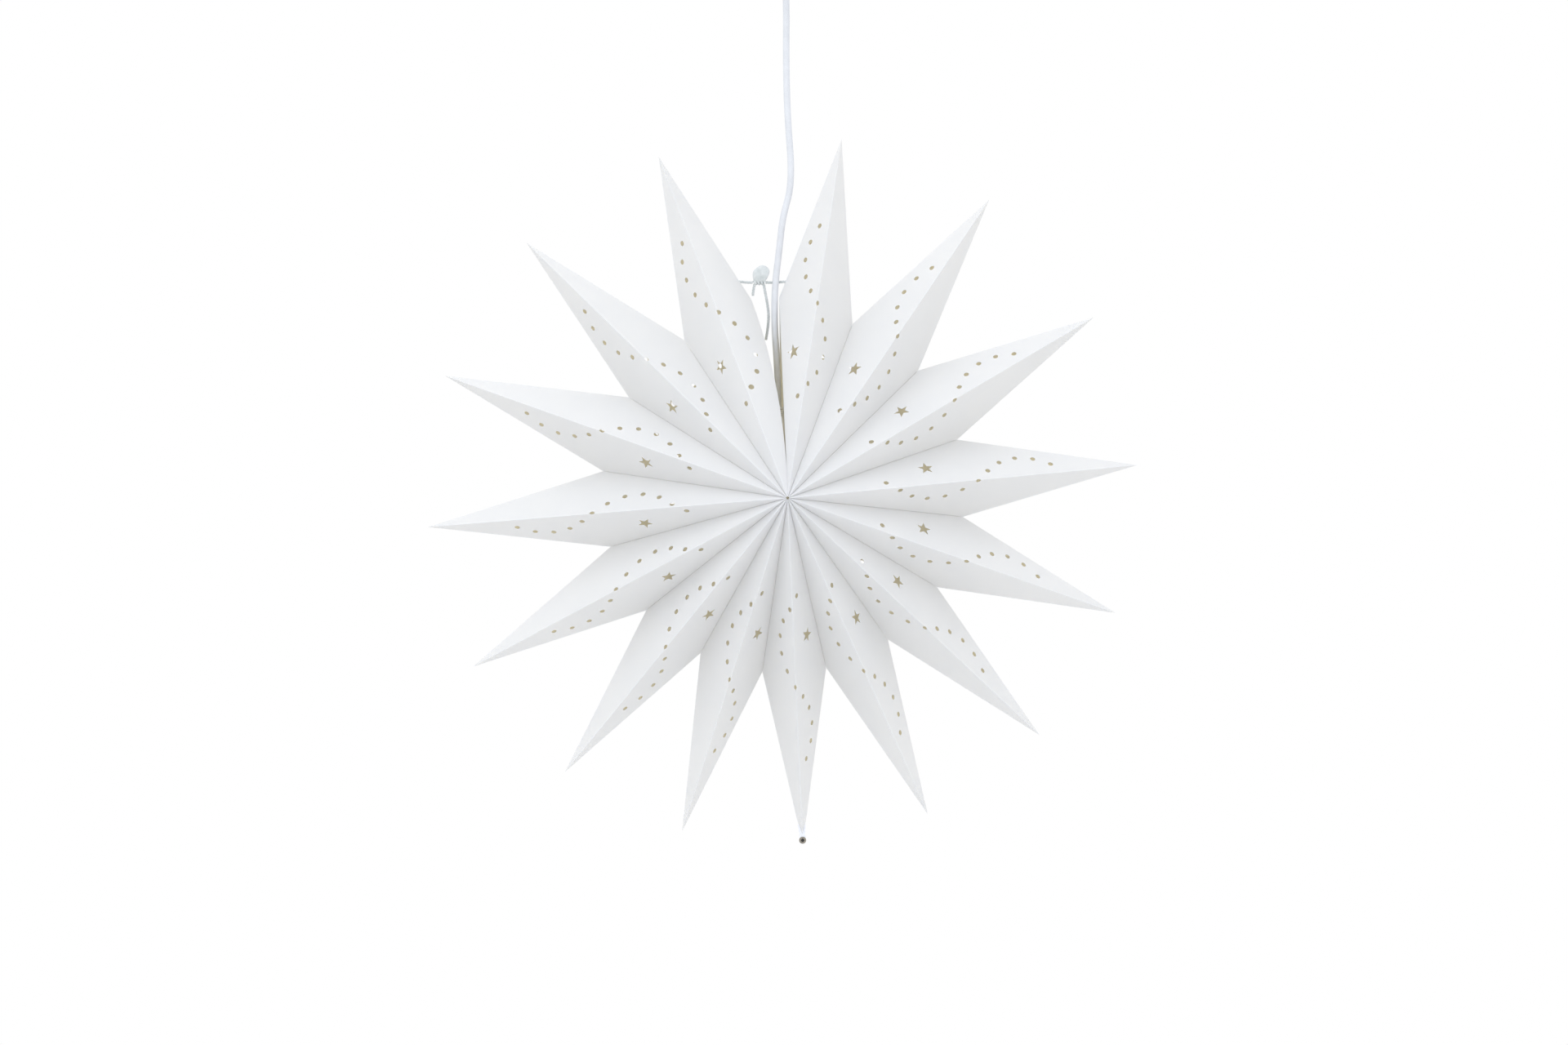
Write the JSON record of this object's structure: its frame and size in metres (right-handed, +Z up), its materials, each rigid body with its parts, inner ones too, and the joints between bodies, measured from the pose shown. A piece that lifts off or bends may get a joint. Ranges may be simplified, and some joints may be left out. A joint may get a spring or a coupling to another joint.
{
  "type": "star pendant light",
  "caption": "White paper star pendant: a fan of folded, die-cut points tied into a full circle round a lamp on a flex, with cup and bracket.",
  "frame": {"origin": "middle of the face that meets the ceiling, straight above the star", "axes": "+Z up out of the ceiling face, -Y the star's front, +X to the star's right as seen from the front"},
  "size_m": [0.5979, 0.1594, 0.8136],
  "materials": {
    "card": "matte translucent white card",
    "card_shade": "matte translucent white card",
    "cord_white": "matt woven cord",
    "flex_white": "satin sheath",
    "core_brown": "satin insulation",
    "white_plastic": "gloss moulded plastic",
    "holder_plastic": "satin moulded plastic",
    "ceramic": "matt ceramic-like insulator",
    "steel": "zinc-plated steel",
    "brass_contact": "bright brass",
    "nickel": "nickel plate",
    "opal_glass": "opal glass",
    "lamp_column": "coated light column"
  },
  "bodies": {
    "ceiling_fitting": {"ceiling_bracket": "steel", "canopy": "white_plastic", "canopy_screws": "nickel", "grip_bushing": "white_plastic", "grip_nut": "white_plastic", "grip_screw": "white_plastic", "terminal_block": "ceramic", "terminal_screws": "brass_contact", "supply_cores": "core_brown"},
    "clamped_flex": {"flex_top": "flex_white"},
    "pendant": {"pendant_flex": "flex_white", "holder_cap": "holder_plastic", "flex_collet": "holder_plastic", "holder_body": "holder_plastic", "holder_insert": "ceramic", "lamp_cores": "core_brown", "screw_shell": "nickel", "centre_contact": "brass_contact", "point_08": "card_shade", "tip_eyelet": "nickel"},
    "lamp_travel": {"bulb_contact": "brass_contact"},
    "lamp": {"bulb_cap": "nickel", "bulb_glass": "opal_glass", "bulb_stem": "lamp_column"},
    "fold_01": {"point_01": "card", "tie_right": "cord_white"},
    "fold_02": {"point_02": "card_shade"},
    "fold_03": {"point_03": "card"},
    "fold_04": {"point_04": "card_shade"},
    "fold_05": {"point_05": "card"},
    "fold_06": {"point_06": "card_shade"},
    "fold_07": {"point_07": "card"},
    "fold_09": {"point_09": "card"},
    "fold_10": {"point_10": "card_shade"},
    "fold_11": {"point_11": "card"},
    "fold_12": {"point_12": "card_shade"},
    "fold_13": {"point_13": "card"},
    "fold_14": {"point_14": "card_shade"},
    "fold_15": {"point_15": "card", "tie_left": "cord_white", "tie_knot": "cord_white", "tie_tail_short": "cord_white", "tie_tail_long": "cord_white"}
  },
  "joints": [
    {"name": "flex_turn", "type": "hinge", "parent": "ceiling_fitting", "child": "clamped_flex", "pos_m": [0, 0, -0.0605], "axis": [0, 0, 1], "range_deg": [-90, 90]},
    {"name": "pendant_swing", "type": "hinge", "parent": "clamped_flex", "child": "pendant", "pos_m": [0, 0, -0.0605], "axis": [0, 1, 0], "range_deg": [-12, 12]},
    {"name": "lamp_travel_slide", "type": "slide", "parent": "pendant", "child": "lamp_travel", "axis": [0, 0, -1], "range_m": [0, 0.01127]},
    {"name": "lamp_unscrew", "type": "hinge", "parent": "lamp_travel", "child": "lamp", "pos_m": [-0.0045, 0, -0.495], "axis": [0, 0, 1], "range_deg": [0, 1445]},
    {"name": "fold_hinge_01", "type": "hinge", "parent": "pendant", "child": "fold_01", "pos_m": [0, 0, -0.515], "axis": [0, -1, 0], "range_deg": [-75.6, 0], "deforming": ["point_01", "tie_right"]},
    {"name": "fold_hinge_02", "type": "hinge", "parent": "pendant", "child": "fold_02", "pos_m": [0, 0, -0.515], "axis": [0, -1, 0], "range_deg": [-64, 0], "deforming": ["point_02"]},
    {"name": "fold_hinge_03", "type": "hinge", "parent": "pendant", "child": "fold_03", "pos_m": [0, 0, -0.515], "axis": [0, -1, 0], "range_deg": [-52.5, 0], "deforming": ["point_03"]},
    {"name": "fold_hinge_04", "type": "hinge", "parent": "pendant", "child": "fold_04", "pos_m": [0, 0, -0.515], "axis": [0, -1, 0], "range_deg": [-41.2, 0], "deforming": ["point_04"]},
    {"name": "fold_hinge_05", "type": "hinge", "parent": "pendant", "child": "fold_05", "pos_m": [0, 0, -0.515], "axis": [0, -1, 0], "range_deg": [-30.3, 0], "deforming": ["point_05"]},
    {"name": "fold_hinge_06", "type": "hinge", "parent": "pendant", "child": "fold_06", "pos_m": [0, 0, -0.515], "axis": [0, -1, 0], "range_deg": [-19.7, 0], "deforming": ["point_06"]},
    {"name": "fold_hinge_07", "type": "hinge", "parent": "pendant", "child": "fold_07", "pos_m": [0, 0, -0.515], "axis": [0, -1, 0], "range_deg": [-9.6, 0], "deforming": ["point_07"]},
    {"name": "fold_hinge_09", "type": "hinge", "parent": "pendant", "child": "fold_09", "pos_m": [0, 0, -0.515], "axis": [0, -1, 0], "range_deg": [0, 9.1], "deforming": ["point_09"]},
    {"name": "fold_hinge_10", "type": "hinge", "parent": "pendant", "child": "fold_10", "pos_m": [0, 0, -0.515], "axis": [0, -1, 0], "range_deg": [0, 18.7], "deforming": ["point_10"]},
    {"name": "fold_hinge_11", "type": "hinge", "parent": "pendant", "child": "fold_11", "pos_m": [0, 0, -0.515], "axis": [0, -1, 0], "range_deg": [0, 28.9], "deforming": ["point_11"]},
    {"name": "fold_hinge_12", "type": "hinge", "parent": "pendant", "child": "fold_12", "pos_m": [0, 0, -0.515], "axis": [0, -1, 0], "range_deg": [0, 39.6], "deforming": ["point_12"]},
    {"name": "fold_hinge_13", "type": "hinge", "parent": "pendant", "child": "fold_13", "pos_m": [0, 0, -0.515], "axis": [0, -1, 0], "range_deg": [0, 50.7], "deforming": ["point_13"]},
    {"name": "fold_hinge_14", "type": "hinge", "parent": "pendant", "child": "fold_14", "pos_m": [0, 0, -0.515], "axis": [0, -1, 0], "range_deg": [0, 62], "deforming": ["point_14"]},
    {"name": "star_fold", "type": "hinge", "parent": "pendant", "child": "fold_15", "pos_m": [0, 0, -0.515], "axis": [0, -1, 0], "range_deg": [0, 73.2], "deforming": ["point_15", "tie_left", "tie_knot", "tie_tail_short", "tie_tail_long", "point_08"]}
  ],
  "couplings": [
    {"joint": "lamp_unscrew", "follows": "lamp_travel_slide", "rad_per_m": 2228.1},
    {"joint": "fold_hinge_01", "follows": "star_fold", "ratio": -1.03},
    {"joint": "fold_hinge_02", "follows": "star_fold", "ratio": -0.87166},
    {"joint": "fold_hinge_03", "follows": "star_fold", "ratio": -0.71468},
    {"joint": "fold_hinge_04", "follows": "star_fold", "ratio": -0.5605},
    {"joint": "fold_hinge_05", "follows": "star_fold", "ratio": -0.41054},
    {"joint": "fold_hinge_06", "follows": "star_fold", "ratio": -0.2662},
    {"joint": "fold_hinge_07", "follows": "star_fold", "ratio": -0.12889},
    {"joint": "fold_hinge_09", "follows": "star_fold", "ratio": 0.12166},
    {"joint": "fold_hinge_10", "follows": "star_fold", "ratio": 0.2531},
    {"joint": "fold_hinge_11", "follows": "star_fold", "ratio": 0.3927},
    {"joint": "fold_hinge_12", "follows": "star_fold", "ratio": 0.53882},
    {"joint": "fold_hinge_13", "follows": "star_fold", "ratio": 0.68983},
    {"joint": "fold_hinge_14", "follows": "star_fold", "ratio": 0.8441}
  ]
}
